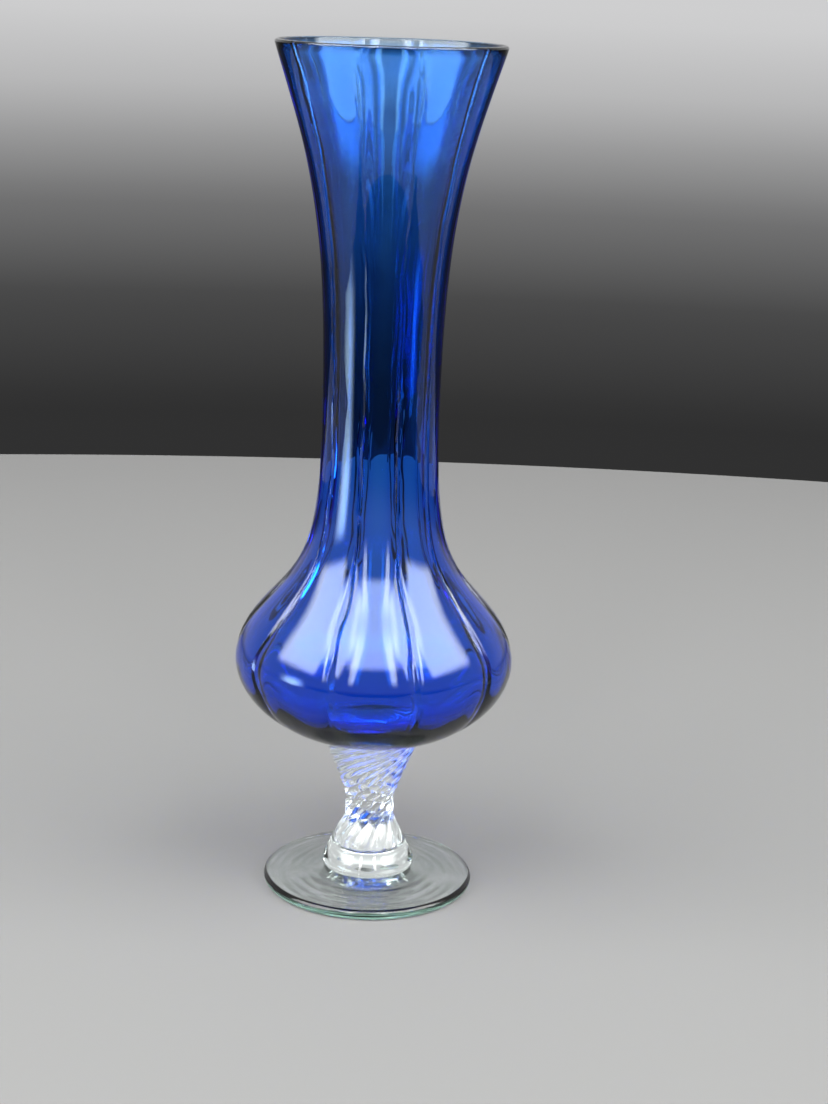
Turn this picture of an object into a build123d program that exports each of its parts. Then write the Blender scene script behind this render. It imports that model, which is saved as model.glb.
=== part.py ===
"""Footed glass bud vase: a hollow coloured bowl on a clear twisted stem, a clear collar and a clear foot.

Units are millimetres and +Z is up.  The origin is the centre of the foot's resting plane.
Each gather of glass is its own solid, and the four meet face to face where they were fused hot.
"""
from build123d import *
import math
import os

# Foot: a flat disc with a rolled edge, a low crown and a hollow underside.
FOOT_RADIUS = 27.5
FOOT_ROLL_RADIUS = 1.3
FOOT_CROWN_HEIGHT = 4.6
FOOT_LAND_WIDTH = 5.0
FOOT_HOLLOW_DEPTH = 0.9

# Collar: a short bell-shaped ring of glass between foot and stem.
COLLAR_HEIGHT = 6.6
COLLAR_LEDGE = 0.9
COLLAR_SPREAD = 1.9
COLLAR_BELLY_RISE = 1.2
COLLAR_TUCK = 0.7
COLLAR_SHOULDER_FILLET = 0.8

# Stem: a solid waisted rod whose ribs were twisted while hot.
STEM_LENGTH = 30.0
STEM_BASE_RADIUS = 9.2
STEM_BASE_SHARE = 0.28
STEM_WAIST_RADIUS = 6.35
STEM_HEAD_RADIUS = 13.2
STEM_HEAD_SHARE = 0.59
STEM_HEAD_CURVE = 1.2
RIB_COUNT = 12
RIB_DEPTH = 0.45
TWIST_DEGREES = 280.0
TWIST_GROWTH = 1.6
TWIST_STEP = 8.0

# Bowl: an onion bulb drawn up into a slim neck and a flared mouth; heights are above its seat.
BULB_RADIUS = 35.9
BULB_HEIGHT = 21.3
NECK_RADIUS = 14.8
MOUTH_RADIUS = 28.2
MOUTH_HEIGHT = 175.2
MOUTH_SLOPE = 0.29
BULB_WALL = 1.8
MOUTH_WALL = 1.3
BASE_THICKNESS = 2.0
WALL_STATIONS = 11

# Side line of the bowl. Each pair is a share of the height from bulb to mouth, and a share of the
# way from the neck's radius out to the bulb's (shoulder) or to the mouth's (flare).
SHOULDER_LINE = [(0.081, 0.725), (0.140, 0.360), (0.257, 0.057)]
NECK_SHARE = 0.469
FLARE_LINE = [(0.666, 0.104), (0.848, 0.470)]

# Heights of the seats, each resting on the piece below.
COLLAR_Z = FOOT_CROWN_HEIGHT
STEM_Z = COLLAR_Z + COLLAR_HEIGHT
BOWL_Z = STEM_Z + STEM_LENGTH
BULB_Z = BOWL_Z + BULB_HEIGHT
MOUTH_Z = BOWL_Z + MOUTH_HEIGHT

# Radii that two pieces share.
COLLAR_TOP_RADIUS = STEM_BASE_RADIUS + COLLAR_LEDGE
COLLAR_RADIUS = COLLAR_TOP_RADIUS + COLLAR_SPREAD
COLLAR_SEAT_RADIUS = COLLAR_RADIUS - COLLAR_TUCK


def revolved(outline):
    """Turn a closed line in the X-Z plane about the Z axis."""
    face = make_face(Plane.XZ * outline)
    return revolve(face, Axis.Z)


def make_foot():
    """Disc with a rolled edge; its top is flat only under the collar."""
    roll_centre = FOOT_RADIUS - FOOT_ROLL_RADIUS
    rim_top = 2 * FOOT_ROLL_RADIUS
    hollow_radius = roll_centre - FOOT_LAND_WIDTH
    outline = Curve() + [
        TangentArc((0, FOOT_HOLLOW_DEPTH), (hollow_radius, 0), tangent=(1, 0)),
        Line((hollow_radius, 0), (roll_centre, 0)),
        ThreePointArc((roll_centre, 0), (FOOT_RADIUS, FOOT_ROLL_RADIUS), (roll_centre, rim_top)),
        Spline(
            (roll_centre, rim_top),
            (COLLAR_SEAT_RADIUS, FOOT_CROWN_HEIGHT),
            tangents=[(-1, 0), (-1, 0.22)],
        ),
        Line((COLLAR_SEAT_RADIUS, FOOT_CROWN_HEIGHT), (0, FOOT_CROWN_HEIGHT)),
        Line((0, FOOT_CROWN_HEIGHT), (0, FOOT_HOLLOW_DEPTH)),
    ]
    return revolved(outline)


def make_collar():
    """Bell-shaped ring, solid through, with a flat seat above and below."""
    belly_z = COLLAR_Z + COLLAR_BELLY_RISE
    outline = Curve() + [
        Line((0, COLLAR_Z), (COLLAR_SEAT_RADIUS, COLLAR_Z)),
        Spline(
            (COLLAR_SEAT_RADIUS, COLLAR_Z),
            (COLLAR_RADIUS, belly_z),
            (COLLAR_TOP_RADIUS, STEM_Z),
            tangents=[(1, 0.6), (-0.35, 1)],
        ),
        Line((COLLAR_TOP_RADIUS, STEM_Z), (0, STEM_Z)),
        Line((0, STEM_Z), (0, COLLAR_Z)),
    ]
    collar = revolved(outline)
    shoulder = collar.edges().filter_by(GeomType.CIRCLE).group_by(Axis.Z)[-1]
    return fillet(shoulder, COLLAR_SHOULDER_FILLET)


def stem_radius(share):
    """Crest radius of the stem at a share of its length, from base to head."""
    if share < STEM_BASE_SHARE:
        ease = (1 + math.cos(math.pi * share / STEM_BASE_SHARE)) / 2
        return STEM_WAIST_RADIUS + (STEM_BASE_RADIUS - STEM_WAIST_RADIUS) * ease
    flare = max(0, share - 1 + STEM_HEAD_SHARE) / STEM_HEAD_SHARE
    return STEM_WAIST_RADIUS + (STEM_HEAD_RADIUS - STEM_WAIST_RADIUS) * flare**STEM_HEAD_CURVE


def stem_section(share):
    """Ring of rounded ribs, one arc each, at a share of the stem's length."""
    crest = stem_radius(share)
    valley = crest - RIB_DEPTH
    pitch = 360 / RIB_COUNT
    turn = TWIST_DEGREES * share**TWIST_GROWTH
    ribs = Curve()
    for index in range(RIB_COUNT):
        start = turn + index * pitch
        ribs += ThreePointArc(
            Vector(valley, 0).rotate(Axis.Z, start),
            Vector(crest, 0).rotate(Axis.Z, start + pitch / 2),
            Vector(valley, 0).rotate(Axis.Z, start + pitch),
        )
    return Pos(0, 0, STEM_Z + share * STEM_LENGTH) * make_face(ribs)


def make_stem():
    """Ribbed rod twisted faster and faster towards its flat head."""
    steps = math.ceil(TWIST_DEGREES / TWIST_STEP)
    shares = [(index / steps) ** (1 / TWIST_GROWTH) for index in range(steps + 1)]
    return loft([stem_section(share) for share in shares])


def bowl_side():
    """Outer line of the bowl from the bulb's widest circle up to the mouth."""
    points = [(0, BULB_RADIUS)]
    for height, out in SHOULDER_LINE:
        points.append((height, NECK_RADIUS + (BULB_RADIUS - NECK_RADIUS) * out))
    points.append((NECK_SHARE, NECK_RADIUS))
    for height, out in FLARE_LINE:
        points.append((height, NECK_RADIUS + (MOUTH_RADIUS - NECK_RADIUS) * out))
    points.append((1, MOUTH_RADIUS))
    line = [(radius, BULB_Z + (MOUTH_Z - BULB_Z) * height) for height, radius in points]
    return Spline(line, tangents=[(0, 1), (MOUTH_SLOPE, 1)])


def inner_side(outer):
    """Inner line, one wall inside the outer line, thinning towards the mouth."""
    points = []
    for index in range(WALL_STATIONS):
        share = index / (WALL_STATIONS - 1)
        wall = BULB_WALL + (MOUTH_WALL - BULB_WALL) * share
        along = outer % share
        points.append(outer @ share + Vector(-along.Y, along.X) * wall)
    return Spline(points, tangents=[outer % 0, outer % 1])


def make_bowl():
    """Hollow bulb, neck and flared mouth with a fire-polished lip, on a flat seat."""
    seat_angle = math.degrees(math.acos(STEM_HEAD_RADIUS / BULB_RADIUS))
    drop = BULB_HEIGHT / math.sin(math.radians(seat_angle))
    underside = EllipticalCenterArc((0, BULB_Z), BULB_RADIUS, drop, start_angle=-seat_angle, arc_size=seat_angle)
    floor = EllipticalCenterArc(
        (0, BULB_Z),
        BULB_RADIUS - BULB_WALL,
        BULB_HEIGHT - BASE_THICKNESS,
        start_angle=-90,
        arc_size=90,
    )
    outer = bowl_side()
    inner = inner_side(outer)
    lip_top = (outer @ 1 + inner @ 1) / 2 + (outer % 1) * (MOUTH_WALL / 2)
    outline = Curve() + [
        Line((0, BOWL_Z), underside @ 0),
        underside,
        outer,
        ThreePointArc(outer @ 1, lip_top, inner @ 1),
        inner,
        floor,
        Line(floor @ 0, (0, BOWL_Z)),
    ]
    return revolved(outline)


def main():
    """Build the four pieces and write one STEP file for each."""
    os.makedirs("parts", exist_ok=True)
    pieces = {
        "foot": make_foot(),
        "collar": make_collar(),
        "stem": make_stem(),
        "bowl": make_bowl(),
    }
    for name, piece in pieces.items():
        export_step(piece, f"parts/{name}.step")


main()
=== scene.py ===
"""Footed glass bud vase: a blown blue bowl on a clear twisted stem, a clear collar and a clear foot."""

import logging
import math
from dataclasses import dataclass, field
from enum import Enum
from typing import Callable, Optional

import bpy
import numpy as np
from mathutils import Euler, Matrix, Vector


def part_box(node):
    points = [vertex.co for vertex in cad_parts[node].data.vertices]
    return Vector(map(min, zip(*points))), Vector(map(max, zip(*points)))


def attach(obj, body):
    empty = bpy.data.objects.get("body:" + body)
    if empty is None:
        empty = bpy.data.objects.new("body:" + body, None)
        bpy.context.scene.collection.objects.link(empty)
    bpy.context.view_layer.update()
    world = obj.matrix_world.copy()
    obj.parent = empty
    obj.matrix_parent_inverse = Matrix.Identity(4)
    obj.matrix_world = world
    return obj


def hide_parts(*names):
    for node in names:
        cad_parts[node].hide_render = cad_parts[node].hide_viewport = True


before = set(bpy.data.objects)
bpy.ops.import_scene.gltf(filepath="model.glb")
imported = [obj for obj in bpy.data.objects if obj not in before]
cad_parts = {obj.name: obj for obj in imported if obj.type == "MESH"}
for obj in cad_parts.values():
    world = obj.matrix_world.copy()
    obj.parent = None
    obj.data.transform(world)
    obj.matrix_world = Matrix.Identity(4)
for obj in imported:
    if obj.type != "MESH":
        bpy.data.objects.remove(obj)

log = logging.getLogger("bud_vase")

MM = 0.001
AXIS_UP = (0.0, 0.0, 1.0)
ROOT_BODY = "root"
SEAT_CLEARANCE = 0.02 * MM
WELD_DISTANCE = 0.002 * MM
TABLE_GAP = 0.05 * MM
SENSOR_LONG_SIDE = 36.0
GLASS_BOUNCES = 24

Point = tuple[float, float]
Colour = tuple[float, float, float]


class Gather(Enum):
    """The gathers of glass, each with the name of its node in the frame."""

    BOWL = "bowl"
    STEM = "stem"
    COLLAR = "collar"
    FOOT = "foot"


class Slot(Enum):
    """Names of material slots, which nothing here uses."""

    BLUE = "blue_glass"
    CLEAR = "clear_glass"
    FOOT = "foot_glass"


# ---------------------------------------------------------------- lines


class ClampedSpline:
    """Smooth line through a few knots, with a set slope at each end."""

    def __init__(self, knots: list[Point], start_slope: float, end_slope: float) -> None:
        """Work out the slope at every knot.

        Args:
            knots: places and values, in rising order of place.
            start_slope: slope at the first knot.
            end_slope: slope at the last knot.
        """
        self.places = np.array([place for place, _ in knots])
        self.values = np.array([value for _, value in knots])
        gaps = np.diff(self.places)
        rises = np.diff(self.values) / gaps
        count = len(knots)
        matrix = np.eye(count)
        right = np.zeros(count)
        right[0] = start_slope
        right[-1] = end_slope
        for row in range(1, count - 1):
            matrix[row, row - 1] = gaps[row]
            matrix[row, row] = 2 * (gaps[row - 1] + gaps[row])
            matrix[row, row + 1] = gaps[row - 1]
            right[row] = 3 * (gaps[row] * rises[row - 1] + gaps[row - 1] * rises[row])
        self.slopes = np.linalg.solve(matrix, right)

    def __call__(self, place: float) -> float:
        """Value of the line at a place.

        Args:
            place: where to read the line; held between its two ends.

        Returns:
            The line's value there.
        """
        place = min(max(place, self.places[0]), self.places[-1])
        index = int(np.clip(np.searchsorted(self.places, place) - 1, 0, len(self.places) - 2))
        gap = self.places[index + 1] - self.places[index]
        share = (place - self.places[index]) / gap
        low, high = self.values[index], self.values[index + 1]
        out, into = self.slopes[index] * gap, self.slopes[index + 1] * gap
        return float(
            low * (1 + 2 * share) * (1 - share) ** 2
            + high * (3 - 2 * share) * share**2
            + out * share * (1 - share) ** 2
            - into * share**2 * (1 - share)
        )


def blend(low: float, high: float, share: float) -> float:
    """Value a share of the way from low to high."""
    return low + (high - low) * share


def ease(share: float) -> float:
    """Smooth step from 0 to 1, flat at both ends."""
    share = min(max(share, 0.0), 1.0)
    return share * share * (3 - 2 * share)


def arc_points(centre: Point, radii: Point, start: float, end: float, steps: int) -> list[Point]:
    """Points along an elliptical arc, both ends included.

    Args:
        centre: radius and height of the arc's centre.
        radii: the two half axes, outwards and upwards.
        start: first angle in degrees, 0 pointing outwards and 90 up.
        end: last angle in degrees.
        steps: number of stretches.

    Returns:
        Points as (radius, height) pairs.
    """
    angles = [math.radians(blend(start, end, step / steps)) for step in range(steps + 1)]
    return [(centre[0] + radii[0] * math.cos(a), centre[1] + radii[1] * math.sin(a)) for a in angles]


# ---------------------------------------------------------------- bench work


def start_piece(name: str) -> bpy.types.Object:
    """Begin a piece as one loose vertex at the origin, in edit mode.

    Args:
        name: plain name of the piece.

    Returns:
        The new object, left in edit mode with its vertex selected.
    """
    bpy.ops.object.select_all(action="DESELECT")
    bpy.ops.mesh.primitive_plane_add(size=MM, location=(0, 0, 0))
    piece = bpy.context.object
    piece.name = name
    piece.data.name = name
    bpy.ops.object.mode_set(mode="EDIT")
    bpy.ops.mesh.select_all(action="SELECT")
    bpy.ops.mesh.merge(type="CENTER")
    return piece


def draw_outline(points: list[Point]) -> None:
    """Draw a half outline from the loose vertex by extruding it from point to point.

    Args:
        points: (radius, height) pairs from one end to the other.
    """
    bpy.ops.transform.translate(value=(points[0][0], 0, points[0][1]))
    for (radius, height), (next_radius, next_height) in zip(points, points[1:]):
        move = (next_radius - radius, 0, next_height - height)
        bpy.ops.mesh.extrude_region_move(TRANSFORM_OT_translate={"value": move})


def turn_outline(steps: int) -> None:
    """Spin the drawn half outline once round the axis, weld it and face it outwards.

    Args:
        steps: number of columns round the piece.
    """
    bpy.ops.mesh.select_all(action="SELECT")
    bpy.ops.mesh.spin(steps=steps, angle=math.tau, center=(0, 0, 0), axis=AXIS_UP)
    bpy.ops.mesh.select_all(action="SELECT")
    bpy.ops.mesh.remove_doubles(threshold=WELD_DISTANCE)
    bpy.ops.mesh.normals_make_consistent(inside=False)


def finish_piece(piece: bpy.types.Object) -> None:
    """Leave edit mode and shade the piece smooth.

    Args:
        piece: the piece, in edit mode.
    """
    bpy.ops.object.mode_set(mode="OBJECT")
    bpy.ops.object.select_all(action="DESELECT")
    piece.select_set(True)
    bpy.context.view_layer.objects.active = piece
    bpy.ops.object.shade_smooth()


def press(piece: bpy.types.Object, name: str, depth: float, weight: Callable[[Vector], float]) -> None:
    """Push the surface along its normals by a depth, as much as a weight says at each point.

    Args:
        piece: the piece to shape, in object mode.
        name: what the shaping is called.
        depth: furthest move in metres, outwards from the glass if positive.
        weight: gives 0 to 1 for a point of the surface.
    """
    group = piece.vertex_groups.new(name=name)
    for vertex in piece.data.vertices:
        amount = weight(vertex.co)
        if amount > 0:
            group.add([vertex.index], amount, "REPLACE")
    modifier = piece.modifiers.new(name, "DISPLACE")
    modifier.vertex_group = group.name
    modifier.direction = "NORMAL"
    modifier.strength = depth
    modifier.mid_level = 0.0
    bpy.context.view_layer.objects.active = piece
    bpy.ops.object.modifier_apply(modifier=modifier.name)
    piece.vertex_groups.remove(piece.vertex_groups[name])


def ripple(piece: bpy.types.Object, name: str, depth: float, size: float, floor: float = -1.0) -> None:
    """Give the surface the slow unevenness of glass worked by hand.

    Args:
        piece: the piece to shape, in object mode.
        name: what the shaping is called.
        depth: height of the ripples in metres.
        size: width of a ripple in metres.
        floor: height that the ripples stay above.
    """
    texture = bpy.data.textures.new(name, "CLOUDS")
    texture.noise_scale = size
    texture.noise_depth = 1
    modifier = piece.modifiers.new(name, "DISPLACE")
    modifier.texture = texture
    modifier.texture_coords = "LOCAL"
    modifier.strength = depth
    modifier.mid_level = 0.5
    above = [vertex.index for vertex in piece.data.vertices if vertex.co.z > floor]
    group = piece.vertex_groups.new(name=name)
    group.add(above, 1.0, "REPLACE")
    modifier.vertex_group = group.name
    bpy.context.view_layer.objects.active = piece
    bpy.ops.object.modifier_apply(modifier=modifier.name)
    piece.vertex_groups.remove(piece.vertex_groups[name])
    bpy.data.textures.remove(texture)


# ---------------------------------------------------------------- finishes


@dataclass(frozen=True)
class GlassFinish:
    """Polished glass, tinted through its thickness, with the marks of handwork.

    Attributes:
        name: plain name of the finish.
        tint: colour that the glass lets through.
        depth_of_tint: how strongly it absorbs, per metre.
        pull: how much the streaks are drawn out along the axis.
        streak_size: streaks per metre.
        streak_height: height of the streaks in metres.
        polish: roughness of the polished surface.
        haze: roughness of the faintly hazed patches.
        haze_range: where on the patches the haze starts and where it is full.
        refraction: refractive index.
        gloss_tint: colour of the reflections seen square on.
        optic_lines: number of fine lines that the mould's creases left, all round.
        line_width: half width of a line, as a share of the way to the next.
        line_depth: depth of a line in metres.
        waver_size: wavers of a line per metre.
        waver: furthest sideways waver, as a share of the way to the next line.
        line_foot: heights over which a line comes in above the bulb's base.
        line_head: heights over which a line fades up the neck.
        line_faint: share of its depth that a line keeps above that.
    """

    name: str
    tint: Colour
    depth_of_tint: float
    pull: float = 0.15
    streak_size: float = 90.0
    streak_height: float = 0.00006
    polish: float = 0.0
    haze: float = 0.025
    haze_range: Point = (0.55, 0.8)
    refraction: float = 1.52
    gloss_tint: Colour = (1.0, 1.0, 1.0)
    optic_lines: int = 0
    line_width: float = 0.06
    line_depth: float = 0.5 * MM
    waver_size: float = 70.0
    waver: float = 0.12
    line_foot: Point = (52 * MM, 66 * MM)
    line_head: Point = (95 * MM, 140 * MM)
    line_faint: float = 0.2

    def make(self) -> bpy.types.Material:
        """Build the material.

        Returns:
            The finished material.
        """
        material = bpy.data.materials.new(self.name)
        material.use_nodes = True
        nodes, links = material.node_tree.nodes, material.node_tree.links
        nodes.clear()
        output = nodes.new("ShaderNodeOutputMaterial")
        glass = nodes.new("ShaderNodeBsdfPrincipled")
        glass.inputs["Base Color"].default_value = (1, 1, 1, 1)
        glass.inputs["Transmission Weight"].default_value = 1.0
        glass.inputs["IOR"].default_value = self.refraction
        glass.inputs["Specular Tint"].default_value = (*self.gloss_tint, 1)
        links.new(glass.outputs["BSDF"], output.inputs["Surface"])
        body = nodes.new("ShaderNodeVolumeAbsorption")
        body.inputs["Color"].default_value = (*self.tint, 1)
        body.inputs["Density"].default_value = self.depth_of_tint
        links.new(body.outputs["Volume"], output.inputs["Volume"])

        place = nodes.new("ShaderNodeTexCoord")
        drawn = nodes.new("ShaderNodeMapping")
        drawn.inputs["Scale"].default_value = (1, 1, self.pull)
        links.new(place.outputs["Object"], drawn.inputs["Vector"])
        streaks = nodes.new("ShaderNodeTexNoise")
        streaks.inputs["Scale"].default_value = self.streak_size
        streaks.inputs["Detail"].default_value = 2.0
        links.new(drawn.outputs["Vector"], streaks.inputs["Vector"])
        bump = nodes.new("ShaderNodeBump")
        bump.inputs["Strength"].default_value = 1.0
        bump.inputs["Distance"].default_value = self.streak_height
        links.new(streaks.outputs["Fac"], bump.inputs["Height"])
        links.new(bump.outputs["Normal"], glass.inputs["Normal"])
        if self.optic_lines:
            self.add_optic_lines(material.node_tree, place, bump)

        patches = nodes.new("ShaderNodeTexNoise")
        patches.inputs["Scale"].default_value = 2 * self.streak_size
        patches.inputs["Detail"].default_value = 4.0
        links.new(place.outputs["Object"], patches.inputs["Vector"])
        haze = nodes.new("ShaderNodeMapRange")
        haze.inputs["From Min"].default_value = self.haze_range[0]
        haze.inputs["From Max"].default_value = self.haze_range[1]
        haze.inputs["To Min"].default_value = self.polish
        haze.inputs["To Max"].default_value = self.haze
        links.new(patches.outputs["Fac"], haze.inputs["Value"])
        links.new(haze.outputs["Result"], glass.inputs["Roughness"])
        return material

    def add_optic_lines(self, tree: bpy.types.NodeTree, place: bpy.types.Node, bump: bpy.types.Node) -> None:
        """Add fine wavering lines up the wall where the mould's creases met, deepest on the bulb.

        Args:
            tree: the material's nodes.
            place: the node that gives the place on the piece.
            bump: the bump that the lines go under.
        """
        nodes, links = tree.nodes, tree.links
        waver = nodes.new("ShaderNodeTexNoise")
        waver.inputs["Scale"].default_value = self.waver_size
        waver.inputs["Detail"].default_value = 1.0
        links.new(place.outputs["Object"], waver.inputs["Vector"])
        shift = nodes.new("ShaderNodeMapRange")
        shift.inputs["To Min"].default_value = -self.waver
        shift.inputs["To Max"].default_value = self.waver
        links.new(waver.outputs["Fac"], shift.inputs["Value"])
        split = nodes.new("ShaderNodeSeparateXYZ")
        links.new(place.outputs["Object"], split.inputs["Vector"])
        angle = nodes.new("ShaderNodeMath")
        angle.operation = "ARCTAN2"
        links.new(split.outputs["X"], angle.inputs[0])
        links.new(split.outputs["Y"], angle.inputs[1])
        turn = nodes.new("ShaderNodeMath")
        turn.operation = "MULTIPLY_ADD"
        turn.inputs[1].default_value = self.optic_lines / math.tau
        links.new(angle.outputs["Value"], turn.inputs[0])
        links.new(shift.outputs["Result"], turn.inputs[2])
        across = nodes.new("ShaderNodeMath")
        across.operation = "PINGPONG"
        across.inputs[1].default_value = 0.5
        links.new(turn.outputs["Value"], across.inputs[0])
        valley = nodes.new("ShaderNodeMapRange")
        valley.inputs["From Min"].default_value = 0.5 - self.line_width
        valley.inputs["From Max"].default_value = 0.5
        valley.inputs["To Min"].default_value = 0.0
        valley.inputs["To Max"].default_value = -1.0
        links.new(across.outputs["Value"], valley.inputs["Value"])
        height = valley.outputs["Result"]
        for low, high, start, end in ((*self.line_foot, 0.0, 1.0), (*self.line_head, 1.0, self.line_faint)):
            fade = nodes.new("ShaderNodeMapRange")
            fade.inputs["From Min"].default_value = low
            fade.inputs["From Max"].default_value = high
            fade.inputs["To Min"].default_value = start
            fade.inputs["To Max"].default_value = end
            links.new(split.outputs["Z"], fade.inputs["Value"])
            scaled = nodes.new("ShaderNodeMath")
            scaled.operation = "MULTIPLY"
            links.new(height, scaled.inputs[0])
            links.new(fade.outputs["Result"], scaled.inputs[1])
            height = scaled.outputs["Value"]
        lines = nodes.new("ShaderNodeBump")
        lines.inputs["Strength"].default_value = 1.0
        lines.inputs["Distance"].default_value = self.line_depth
        links.new(height, lines.inputs["Height"])
        links.new(lines.outputs["Normal"], bump.inputs["Normal"])


@dataclass(frozen=True)
class MattFinish:
    """Plain matt paint for the studio's own surfaces.

    Attributes:
        name: plain name of the finish.
        colour: its colour.
        roughness: how matt it is.
        shine: how strongly it mirrors.
    """

    name: str
    colour: Colour
    roughness: float = 0.85
    shine: float = 0.2

    def make(self) -> bpy.types.Material:
        """Build the material.

        Returns:
            The finished material.
        """
        material = bpy.data.materials.new(self.name)
        material.use_nodes = True
        paint = material.node_tree.nodes["Principled BSDF"]
        paint.inputs["Base Color"].default_value = (*self.colour, 1)
        paint.inputs["Roughness"].default_value = self.roughness
        paint.inputs["Specular IOR Level"].default_value = self.shine
        return material


# ---------------------------------------------------------------- the vase


@dataclass
class Piece:
    """One gather of glass.

    Attributes:
        gather: which node of the frame it stands for.
        name: plain name of the piece.
        slot: material slot named for it; not used.
        finish: its finish.
    """

    gather: Gather
    name: str
    slot: Slot
    finish: GlassFinish
    low: Vector = field(init=False)
    high: Vector = field(init=False)
    mesh: Optional[bpy.types.Object] = field(init=False, default=None)

    def __post_init__(self) -> None:
        """Read the node's box from the frame."""
        self.low, self.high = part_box(self.gather.value)

    def shape(self) -> None:
        """Build the mesh."""
        raise NotImplementedError

    def dress(self) -> None:
        """Give the mesh its finish and its place in the frame, on the one body of the vase."""
        self.mesh.data.materials.clear()
        self.mesh.data.materials.append(self.finish.make())
        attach(self.mesh, ROOT_BODY)
        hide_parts(self.gather.value)

    def build(self) -> bpy.types.Object:
        """Shape and dress the piece.

        Returns:
            The finished object.
        """
        self.shape()
        self.dress()
        log.info("%s: %d faces", self.name, len(self.mesh.data.polygons))
        return self.mesh


@dataclass
class Bowl(Piece):
    """Hollow bulb, neck and flared mouth, blown in a panelled optic mould.

    Attributes:
        neck_radius: outer radius of the neck where it is slimmest.
        mouth_radius: outer radius at the lip.
        bulb_height: height of the widest circle above the seat.
        mouth_slope: outward slope of the wall at the lip.
        shoulder_line: shares of the height and of the way out to the bulb.
        neck_share: share of the height where the neck is slimmest.
        flare_line: shares of the height and of the way out to the mouth.
        bulb_wall: thickness of the bulb's wall.
        mouth_wall: thickness of the wall below the lip.
        base_thickness: thickness of the glass over the seat.
        panels: number of optic panels.
        columns_per_panel: columns of faces in one panel.
        crease_depth: height of the creases between the panels, inside.
        relief_depth: depth of the soft grooves between the panels, outside on the bulb.
        relief_least: share of that depth that is left on the neck.
        relief_reach: how early the grooves deepen on the way from the neck to the bulb.
        lip_fade: height below the lip over which the optic melts away.
        base_fade: height above the base over which the optic comes in.
        handwork: height and width of the slow unevenness of the wall.
        chill: height and width of the fine unevenness that cooling leaves.
        side_steps: rings of faces between bulb and mouth.
    """

    neck_radius: float = 14.8 * MM
    mouth_radius: float = 28.2 * MM
    seat_radius: float = 13.2 * MM
    bulb_height: float = 21.3 * MM
    mouth_slope: float = 0.29
    shoulder_line: tuple[Point, ...] = ((0.081, 0.725), (0.140, 0.360), (0.257, 0.057))
    neck_share: float = 0.469
    flare_line: tuple[Point, ...] = ((0.666, 0.104), (0.848, 0.470))
    bulb_wall: float = 1.8 * MM
    mouth_wall: float = 1.3 * MM
    base_thickness: float = 2.0 * MM
    panels: int = 10
    columns_per_panel: int = 30
    crease_depth: float = 0.42 * MM
    relief_depth: float = 0.7 * MM
    relief_least: float = 0.12
    relief_reach: float = 1.8
    lip_fade: float = 9 * MM
    base_fade: float = 14 * MM
    handwork: Point = (0.14 * MM, 26 * MM)
    chill: Point = (0.05 * MM, 8 * MM)
    side_steps: int = 84
    side: ClampedSpline = field(init=False)

    def __post_init__(self) -> None:
        """Work out the side line from the frame's box and the driving sizes."""
        super().__post_init__()
        self.bulb_radius = self.high.x
        self.seat_z = self.low.z + SEAT_CLEARANCE
        self.bulb_z = self.low.z + self.bulb_height
        lip_rise = self.mouth_wall / 2 * (1 + math.sin(math.atan(self.mouth_slope)))
        self.mouth_z = self.high.z - lip_rise
        span = self.mouth_z - self.bulb_z
        knots = [(self.bulb_z, self.bulb_radius)]
        for height, out in self.shoulder_line:
            knots.append((self.bulb_z + span * height, blend(self.neck_radius, self.bulb_radius, out)))
        knots.append((self.bulb_z + span * self.neck_share, self.neck_radius))
        for height, out in self.flare_line:
            knots.append((self.bulb_z + span * height, blend(self.neck_radius, self.mouth_radius, out)))
        knots.append((self.mouth_z, self.mouth_radius))
        self.side = ClampedSpline(knots, 0.0, self.mouth_slope)

    def wall(self, height: float) -> float:
        """Thickness of the wall at a height."""
        share = (height - self.bulb_z) / (self.mouth_z - self.bulb_z)
        return blend(self.bulb_wall, self.mouth_wall, share)

    def inner_point(self, height: float) -> Point:
        """Find the point of the inner line one wall square to the outer line.

        Args:
            height: height on the outer line.

        Returns:
            The inner point as (radius, height).
        """
        step = 0.1 * MM
        slope = (self.side(height + step) - self.side(height - step)) / (2 * step)
        length = math.hypot(1, slope)
        wall = self.wall(height)
        return self.side(height) - wall / length, height + wall * slope / length

    def outline(self) -> list[Point]:
        """Work out the half outline: from the axis under the seat, up outside, over the lip, down inside.

        Returns:
            Points as (radius, height) pairs.
        """
        drop = self.bulb_height / math.sin(math.acos(self.seat_radius / self.bulb_radius))
        seat_angle = math.degrees(math.acos(self.seat_radius / self.bulb_radius))
        base = [(self.seat_radius * step / 6, self.seat_z) for step in range(6)]
        under = arc_points((0, self.bulb_z), (self.bulb_radius, drop), -seat_angle, 0, 22)
        under[0] = (self.seat_radius, self.seat_z)
        heights = [blend(self.bulb_z, self.mouth_z, s / self.side_steps) for s in range(1, self.side_steps)]
        outside = [(self.side(height), height) for height in heights]
        inside = [self.inner_point(height) for height in reversed(heights)]
        outer_end = (self.side(self.mouth_z), self.mouth_z)
        inner_end = self.inner_point(self.mouth_z)
        middle = ((outer_end[0] + inner_end[0]) / 2, (outer_end[1] + inner_end[1]) / 2)
        half = self.mouth_wall / 2
        tilt = math.degrees(math.atan(self.mouth_slope))
        lip = arc_points(middle, (half, half), -tilt, 180 - tilt, 10)
        floor_radius = self.bulb_radius - self.bulb_wall
        floor_drop = self.bulb_height - self.base_thickness
        floor = arc_points((0, self.bulb_z), (floor_radius, floor_drop), 0, -90, 30)
        return base + under + outside + lip + inside + floor

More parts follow.
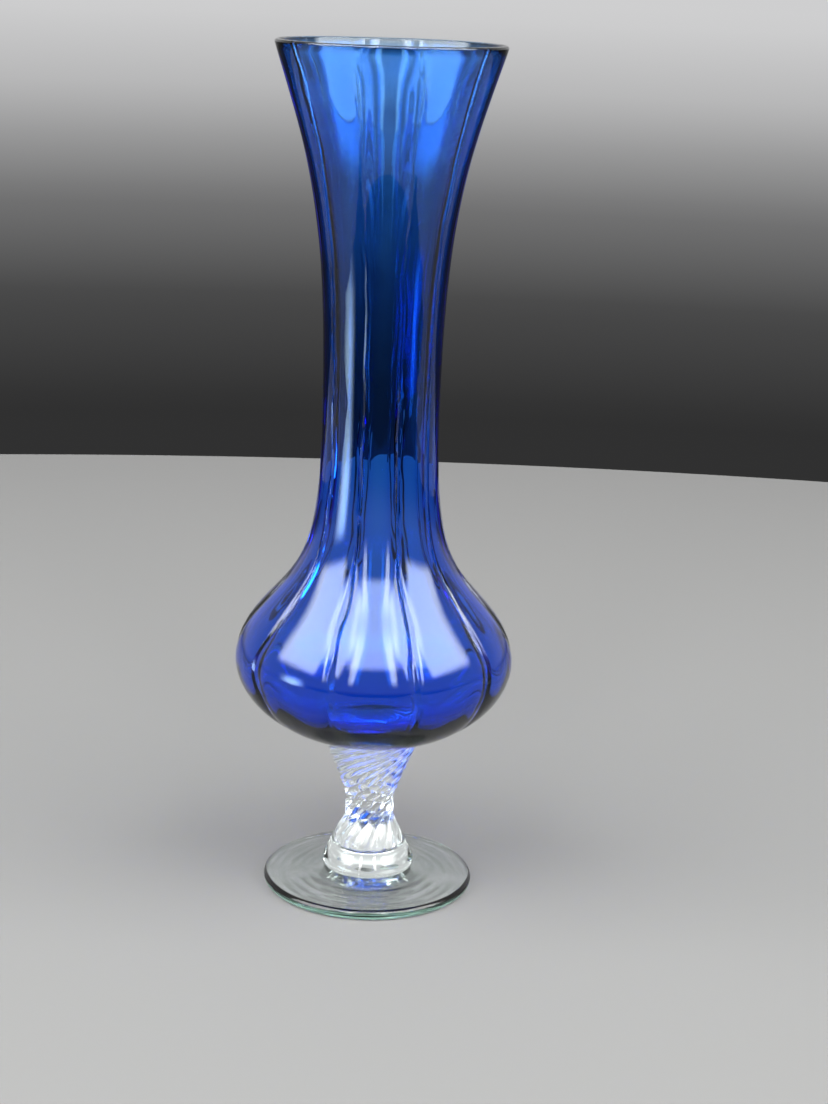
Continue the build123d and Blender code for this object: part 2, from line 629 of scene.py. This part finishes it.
    def nearness(self, place: Vector) -> float:
        """Tell how near a place is to the line between two panels.

        Args:
            place: a point of the surface.

        Returns:
            1 on the line, 0 in mid panel.
        """
        turn = math.atan2(place.x, -place.y) / math.tau * self.panels + 0.5
        return 1 - 2 * abs(turn - round(turn))

    def crease(self, place: Vector) -> float:
        """Tell how much of the crease between two panels stands inside the wall.

        Args:
            place: a point of the surface.

        Returns:
            0 to 1 inside, 0 outside.
        """
        if not self.is_inside(place):
            return 0.0
        return self.nearness(place) ** 2 * self.fade(place.z)

    def groove(self, place: Vector) -> float:
        """Tell how much of the groove between two panels shows outside, most on the bulb.

        Args:
            place: a point of the surface.

        Returns:
            0 to 1 outside, 0 inside.
        """
        if self.is_inside(place):
            return 0.0
        out = math.hypot(place.x, place.y) - self.neck_radius
        swell = self.relief_reach * out / (self.bulb_radius - self.neck_radius)
        depth = blend(self.relief_least, 1.0, ease(swell))
        return self.nearness(place) ** 5 * depth * self.fade(place.z)

    def fade(self, height: float) -> float:
        """Tell how much of the optic shows at a height: none at the lip and under the bulb.

        Args:
            height: height above the table.

        Returns:
            0 to 1.
        """
        from_lip = ease((self.mouth_z - height) / self.lip_fade)
        from_base = ease((height - self.seat_z - self.base_thickness) / self.base_fade)
        return from_lip * from_base

    def is_inside(self, place: Vector) -> bool:
        """Tell whether a point of the surface belongs to the inner wall.

        Args:
            place: a point of the surface.

        Returns:
            True inside, False outside.
        """
        radius = math.hypot(place.x, place.y)
        if place.z > self.bulb_z:
            return radius < self.side(place.z) - self.wall(place.z) / 2
        flat = math.sqrt(max(0.0, 1 - (radius / (self.bulb_radius - self.bulb_wall / 2)) ** 2))
        return place.z > self.bulb_z - flat * (self.bulb_height - self.base_thickness / 2)

    def shape(self) -> None:
        """Turn the bowl, then press the optic into it."""
        self.mesh = start_piece(self.name)
        draw_outline(self.outline())
        turn_outline(self.panels * self.columns_per_panel)
        finish_piece(self.mesh)
        press(self.mesh, "optic", self.crease_depth, self.crease)
        press(self.mesh, "relief", -self.relief_depth, self.groove)
        ripple(self.mesh, "handwork", *self.handwork)
        ripple(self.mesh, "chill", *self.chill)


@dataclass
class Stem(Piece):
    """Solid rod with rounded ribs, twisted and drawn in at the waist while hot.

    Attributes:
        waist_radius: radius where the stem is slimmest.
        head_radius: radius under the bowl.
        base_radius: radius on the collar.
        base_share: share of the length over which the base narrows.
        head_share: share of the length over which the head spreads.
        head_curve: how late the head spreads.
        ribs: number of ribs.
        columns_per_rib: columns of faces in one rib.
        rib_depth: depth of the grooves, as a share of the radius.
        twist: whole turn from base to head, in degrees.
        twist_growth: how much faster the head is twisted than the base.
        rings: number of rings of faces.
        middle_inset: width of the narrow ring inside each flat end.
    """

    waist_radius: float = 6.35 * MM
    head_radius: float = 13.2 * MM
    base_radius: float = 9.2 * MM
    base_share: float = 0.28
    head_share: float = 0.59
    head_curve: float = 1.2
    ribs: int = 12
    columns_per_rib: int = 10
    rib_depth: float = 0.085
    twist: float = 280.0
    twist_growth: float = 1.6
    rings: int = 110
    middle_inset: float = 0.5 * MM

    def radius(self, share: float) -> float:
        """Work out the crest radius at a share of the length.

        Args:
            share: share of the length, from base to head.

        Returns:
            The radius over the ribs.
        """
        if share < self.base_share:
            narrowing = (1 + math.cos(math.pi * share / self.base_share)) / 2
            return blend(self.waist_radius, self.base_radius, narrowing)
        flare = max(0.0, share - 1 + self.head_share) / self.head_share
        return blend(self.waist_radius, self.head_radius, flare**self.head_curve)

    def turn(self, share: float) -> float:
        """Turn of the ribs at a share of the length, in degrees."""
        return self.twist * share**self.twist_growth

    def flute_ring(self) -> None:
        """Press the grooves between the ribs into the selected first ring."""
        ring = self.mesh
        for column in range(self.columns_per_rib):
            away = abs(column / self.columns_per_rib - 0.5) * 2
            groove = 1 - self.rib_depth * (1 - math.sqrt(max(0.0, 1 - (0.98 * away) ** 2)))
            bpy.ops.mesh.select_all(action="DESELECT")
            bpy.ops.object.mode_set(mode="OBJECT")
            for vertex in ring.data.vertices:
                turn = math.atan2(vertex.co.y, vertex.co.x) / math.tau
                place = round(turn * self.ribs * self.columns_per_rib)
                vertex.select = place % self.columns_per_rib == column
            bpy.ops.object.mode_set(mode="EDIT")
            bpy.ops.transform.resize(value=(groove, groove, 1), center_override=(0, 0, 0))
        bpy.ops.mesh.select_all(action="SELECT")

    def shape(self) -> None:
        """Draw the rod up ring by ring, turning and sizing each ring."""
        bottom = self.low.z + SEAT_CLEARANCE
        top = self.high.z - SEAT_CLEARANCE
        bpy.ops.object.select_all(action="DESELECT")
        bpy.ops.mesh.primitive_circle_add(
            vertices=self.ribs * self.columns_per_rib, radius=self.base_radius, location=(0, 0, bottom)
        )
        self.mesh = bpy.context.object
        self.mesh.name = self.name
        bpy.ops.object.transform_apply(location=True, rotation=False, scale=False)
        bpy.ops.object.mode_set(mode="EDIT")
        bpy.ops.mesh.select_mode(type="VERT")
        self.flute_ring()
        bpy.ops.mesh.edge_face_add()
        bpy.ops.mesh.inset(thickness=self.middle_inset)
        bpy.ops.mesh.poke()
        bpy.ops.mesh.select_all(action="DESELECT")
        bpy.ops.mesh.select_non_manifold()
        for ring in range(self.rings):
            here = ring / self.rings
            above = (ring + 1) / self.rings
            rise = (top - bottom) / self.rings
            grow = self.radius(above) / self.radius(here)
            twist = math.radians(self.turn(above) - self.turn(here))
            centre = (0, 0, blend(bottom, top, above))
            bpy.ops.mesh.extrude_region_move(TRANSFORM_OT_translate={"value": (0, 0, rise)})
            bpy.ops.transform.resize(value=(grow, grow, 1), center_override=centre)
            bpy.ops.transform.rotate(value=-twist, orient_axis="Z", center_override=centre)
        bpy.ops.mesh.edge_face_add()
        bpy.ops.mesh.inset(thickness=self.middle_inset)
        bpy.ops.mesh.poke()
        bpy.ops.mesh.select_all(action="SELECT")
        bpy.ops.mesh.normals_make_consistent(inside=False)
        finish_piece(self.mesh)


@dataclass
class Collar(Piece):
    """Bell-shaped ring of glass dropped on between foot and stem.

    Attributes:
        top_radius: radius of the flat top.
        belly_rise: height of the widest circle above the foot.
        tuck: how far the underside draws in below the belly.
        shoulder: radius of the rounded shoulder.
        columns: columns of faces round the collar.
    """

    top_radius: float = 10.1 * MM
    belly_rise: float = 1.2 * MM
    tuck: float = 0.7 * MM
    shoulder: float = 0.8 * MM
    columns: int = 144

    def shape(self) -> None:
        """Turn the collar."""
        bottom = self.low.z + SEAT_CLEARANCE
        top = self.high.z - SEAT_CLEARANCE
        belly_z = bottom + self.belly_rise
        widest = self.high.x
        under = [(widest * step / 8, bottom) for step in range(7)]
        belly = arc_points((widest - self.tuck, belly_z), (self.tuck, self.belly_rise), -80, 0, 8)
        shoulder_z = top - self.shoulder
        side = ClampedSpline([(belly_z, widest), (shoulder_z, self.top_radius)], -0.05, -0.45)
        rise = [blend(belly_z, shoulder_z, step / 14) for step in range(1, 14)]
        flank = [(side(height), height) for height in rise]
        flat_radius = self.top_radius - self.shoulder
        edge = arc_points((flat_radius, shoulder_z), (self.shoulder, self.shoulder), 0, 90, 8)
        over = [(flat_radius * step / 8, top) for step in range(7, -1, -1)]
        self.mesh = start_piece(self.name)
        draw_outline(under + belly + flank + edge + over)
        turn_outline(self.columns)
        finish_piece(self.mesh)


@dataclass
class Foot(Piece):
    """Disc with a rolled edge, a low crown and a hollow underside.

    Attributes:
        roll: radius of the rolled edge.
        land: width of the flat ring that it rests on.
        hollow: depth of the hollow underside.
        seat_radius: radius of the flat under the collar.
        ring_pitch: distance between the rings that the tool left.
        ring_height: height of those rings.
        tooling: height and width of the unevenness that the tool left.
        columns: columns of faces round the foot.
    """

    roll: float = 1.3 * MM
    land: float = 5.0 * MM
    hollow: float = 0.9 * MM
    seat_radius: float = 11.3 * MM
    ring_pitch: float = 2.6 * MM
    ring_height: float = 0.035 * MM
    tooling: Point = (0.16 * MM, 7 * MM)
    columns: int = 192

    def ring(self, spot: float) -> float:
        """Work out the height of the tool's rings, with none at the collar and at the rolled edge.

        Args:
            spot: distance from the axis.

        Returns:
            The height to add.
        """
        inner = ease((spot - self.seat_radius - 1 * MM) / (4 * MM))
        outer = ease((self.high.x - self.roll - spot) / (1.5 * MM))
        return self.ring_height * inner * outer * math.sin(spot / self.ring_pitch * math.tau)

    def shape(self) -> None:
        """Turn the foot."""
        centre = self.high.x - self.roll
        hollow_radius = centre - self.land
        crown = self.high.z - SEAT_CLEARANCE
        under = []
        for step in range(17):
            share = step / 16
            under.append((hollow_radius * share, self.low.z + self.hollow * (1 - share * share)))
        land = [(blend(hollow_radius, centre, step / 6), self.low.z) for step in range(1, 6)]
        edge = arc_points((centre, self.roll + self.low.z), (self.roll, self.roll), -90, 90, 16)
        top = ClampedSpline([(self.seat_radius, crown), (centre, 2 * self.roll)], -0.22, 0.0)
        spots = [blend(centre, self.seat_radius, step / 60) for step in range(1, 60)]
        upper = [(spot, top(spot) + self.ring(spot)) for spot in spots]
        seat = [(self.seat_radius * step / 8, crown) for step in range(8, -1, -1)]
        self.mesh = start_piece(self.name)
        draw_outline(under + land + edge + upper + seat)
        turn_outline(self.columns)
        finish_piece(self.mesh)
        ripple(self.mesh, "tooling", *self.tooling, floor=self.roll)


# ---------------------------------------------------------------- studio


@dataclass(frozen=True)
class Softbox:
    """A soft box that faces the middle of the vase.

    Attributes:
        name: plain name of the light.
        bearing: degrees round from the front, to the right if positive.
        rise: degrees above the middle of the vase.
        distance: how far away it stands, in metres.
        size: width and height in metres.
        brightness: how bright the middle of its face is, where 1 is white in the picture.
        soft_edge: share of its width over which it dims towards an edge.
        colour: colour of its light.
    """

    name: str
    bearing: float
    rise: float
    distance: float
    size: Point
    brightness: float
    soft_edge: float = 0.25
    colour: Colour = (1.0, 1.0, 1.0)


@dataclass
class Studio:
    """Pale round table, soft lights and the camera.

    Attributes:
        table_size: half width and half depth of the oval table.
        table_back: how far behind the vase the table ends.
        table_thickness: thickness of the table.
        focal: focal length, in millimetres, for that long side of the picture.
        distance: how far the camera stands in front of the vase.
        height: how high it stands above the table.
        pitch: how far it looks down, in degrees.
        yaw: how far it looks to the right, in degrees.
        roll: how far it leans, in degrees.
        aim: height of the point that the lights face.
        sky: shares of the way from straight down to straight up, each with its grey.
        lights: the soft boxes.
    """

    table_size: Point = (0.76, 0.42)
    table_back: float = 0.5
    table_thickness: float = 0.03
    focal: float = 69.5
    distance: float = 0.5256
    height: float = 0.235
    pitch: float = 15.39
    yaw: float = 1.035
    roll: float = 2.0
    aim: float = 0.11
    sky: tuple[Point, ...] = (
        (0.0, 0.03),
        (0.40, 0.03),
        (0.425, 0.065),
        (0.447, 0.17),
        (0.46, 0.31),
        (0.472, 0.47),
        (0.49, 0.62),
        (1.0, 0.6),
    )
    lights: tuple[Softbox, ...] = (
        Softbox("left_strip", -20, 38, 1.5, (0.26, 1.9), 11.5, 0.3),
        Softbox("right_strip", 20, 38, 1.5, (0.26, 1.9), 11.5, 0.3),
        Softbox("left_softbox", -68, 43, 1.4, (1.5, 1.5), 11.3, 0.2),
        Softbox("right_softbox", 68, 43, 1.4, (1.5, 1.5), 11.3, 0.2),
        Softbox("middle_softbox", 0, 58, 1.6, (1.8, 1.5), 8.2, 0.2),
        Softbox("back_softbox", 180, 32, 1.5, (1.8, 0.9), 0.55, 0.3),
        Softbox("left_card", -67, -5, 1.2, (0.6, 0.5), 17.0, 0.45, (0.6, 0.8, 1.0)),
    )

    def add_table(self) -> None:
        """Add the table as a bevelled disc, its top at the foot's resting plane."""
        bpy.ops.object.select_all(action="DESELECT")
        half_width, half_depth = self.table_size
        centre = (0, self.table_back - half_depth, -self.table_thickness / 2 - TABLE_GAP)
        bpy.ops.mesh.primitive_cylinder_add(
            vertices=256, radius=half_depth, depth=self.table_thickness, location=centre
        )
        table = bpy.context.object
        table.name = "table"
        bpy.ops.object.mode_set(mode="EDIT")
        bpy.ops.mesh.select_all(action="SELECT")
        bpy.ops.transform.resize(value=(half_width / half_depth, 1, 1))
        bpy.ops.mesh.bevel(offset=0.004, segments=4, affect="EDGES")
        bpy.ops.object.mode_set(mode="OBJECT")
        bpy.ops.object.shade_smooth_by_angle(angle=math.radians(30))
        table.data.materials.append(PALE_PAINT.make())

    def add_softbox(self, box: Softbox) -> None:
        """Add a soft box that faces the vase, brightest in the middle.

        Args:
            box: where it stands, its size and its brightness.
        """
        data = bpy.data.lights.new(box.name, "AREA")
        data.shape = "RECTANGLE"
        data.size, data.size_y = box.size
        data.color = box.colour
        data.energy = box.brightness * math.pi * box.size[0] * box.size[1]
        data.use_nodes = True
        nodes, links = data.node_tree.nodes, data.node_tree.links
        cloth = nodes["Emission"]
        face = nodes.new("ShaderNodeNewGeometry")
        split = nodes.new("ShaderNodeSeparateXYZ")
        links.new(face.outputs["Parametric"], split.inputs["Vector"])
        both = nodes.new("ShaderNodeMath")
        both.operation = "MULTIPLY"
        for index, side in enumerate(("X", "Y")):
            inward = nodes.new("ShaderNodeMath")
            inward.operation = "PINGPONG"
            inward.inputs[1].default_value = 0.5
            links.new(split.outputs[side], inward.inputs[0])
            edge = nodes.new("ShaderNodeMapRange")
            edge.interpolation_type = "SMOOTHSTEP"
            edge.inputs["From Max"].default_value = box.soft_edge
            edge.inputs["To Min"].default_value = 0.04
            links.new(inward.outputs["Value"], edge.inputs["Value"])
            links.new(edge.outputs["Result"], both.inputs[index])
        links.new(both.outputs["Value"], cloth.inputs["Strength"])
        lamp = bpy.data.objects.new(box.name, data)
        bpy.context.scene.collection.objects.link(lamp)
        turn, lift = math.radians(box.bearing), math.radians(box.rise)
        outward = Vector((math.sin(turn) * math.cos(lift), -math.cos(turn) * math.cos(lift), math.sin(lift)))
        lamp.location = Vector((0, 0, self.aim)) + box.distance * outward
        lamp.rotation_euler = outward.to_track_quat("Z", "Y").to_euler()

    def add_sky(self) -> None:
        """Set the plain soft backdrop, darker below the horizon and pale above."""
        world = bpy.data.worlds.new("studio")
        bpy.context.scene.world = world
        world.use_nodes = True
        nodes, links = world.node_tree.nodes, world.node_tree.links
        nodes.clear()
        output = nodes.new("ShaderNodeOutputWorld")
        light = nodes.new("ShaderNodeBackground")
        ramp = nodes.new("ShaderNodeValToRGB")
        split = nodes.new("ShaderNodeSeparateXYZ")
        place = nodes.new("ShaderNodeTexCoord")
        spread = nodes.new("ShaderNodeMapRange")
        spread.inputs["From Min"].default_value = -1.0
        spread.inputs["From Max"].default_value = 1.0
        links.new(place.outputs["Generated"], split.inputs["Vector"])
        links.new(split.outputs["Z"], spread.inputs["Value"])
        links.new(spread.outputs["Result"], ramp.inputs["Fac"])
        links.new(ramp.outputs["Color"], light.inputs["Color"])
        links.new(light.outputs["Background"], output.inputs["Surface"])
        ramp.color_ramp.elements[0].position = self.sky[0][0]
        ramp.color_ramp.elements[1].position = self.sky[-1][0]
        for position, _ in self.sky[1:-1]:
            ramp.color_ramp.elements.new(position)
        for stop, (position, grey) in zip(ramp.color_ramp.elements, self.sky):
            stop.position = position
            stop.color = (grey, grey, grey * 1.01, 1)

    def add_camera(self) -> None:
        """Add the camera in front of the vase."""
        data = bpy.data.cameras.new("camera")
        data.lens = self.focal
        data.sensor_width = SENSOR_LONG_SIDE
        camera = bpy.data.objects.new("camera", data)
        bpy.context.scene.collection.objects.link(camera)
        camera.location = (0, -self.distance, self.height)
        look = Euler((math.radians(90 - self.pitch), 0, -math.radians(self.yaw)), "XYZ").to_matrix()
        lean = Euler((0, 0, math.radians(self.roll)), "XYZ").to_matrix()
        camera.rotation_euler = (look @ lean).to_euler()
        bpy.context.scene.camera = camera

    def build(self) -> None:
        """Set up the whole studio."""
        self.add_camera()
        self.add_table()
        self.add_sky()
        for box in self.lights:
            self.add_softbox(box)
        scene = bpy.context.scene
        scene.view_settings.view_transform = "Standard"
        scene.cycles.sample_clamp_indirect = 0.0
        scene.cycles.max_bounces = GLASS_BOUNCES
        scene.cycles.transmission_bounces = GLASS_BOUNCES
        scene.cycles.transparent_max_bounces = GLASS_BOUNCES
        log.info("studio: table, lights and camera")


BLUE = GlassFinish("cobalt_glass", (0.25, 0.69, 0.98), 1600.0, gloss_tint=(0.72, 0.8, 0.85), optic_lines=10)
CLEAR = GlassFinish("clear_glass", (0.72, 0.96, 0.90), 12.0, pull=1.0)
GREENISH = GlassFinish("foot_glass", (0.55, 0.95, 0.80), 26.0, pull=1.0, refraction=1.42)
PALE_PAINT = MattFinish("pale_table", (0.095, 0.095, 0.0935))


def main() -> None:
    """Build the vase from the table up, then the studio, and note the sizes."""
    logging.basicConfig(level=logging.INFO, format="%(name)s: %(message)s")
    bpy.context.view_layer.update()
    Foot(Gather.FOOT, "rolled_foot", Slot.FOOT, GREENISH).build()
    Collar(Gather.COLLAR, "bell_collar", Slot.CLEAR, CLEAR).build()
    Stem(Gather.STEM, "twisted_stem", Slot.CLEAR, CLEAR).build()
    Bowl(Gather.BOWL, "blown_bowl", Slot.BLUE, BLUE).build()
    Studio().build()


if __name__ == "__main__":
    main()
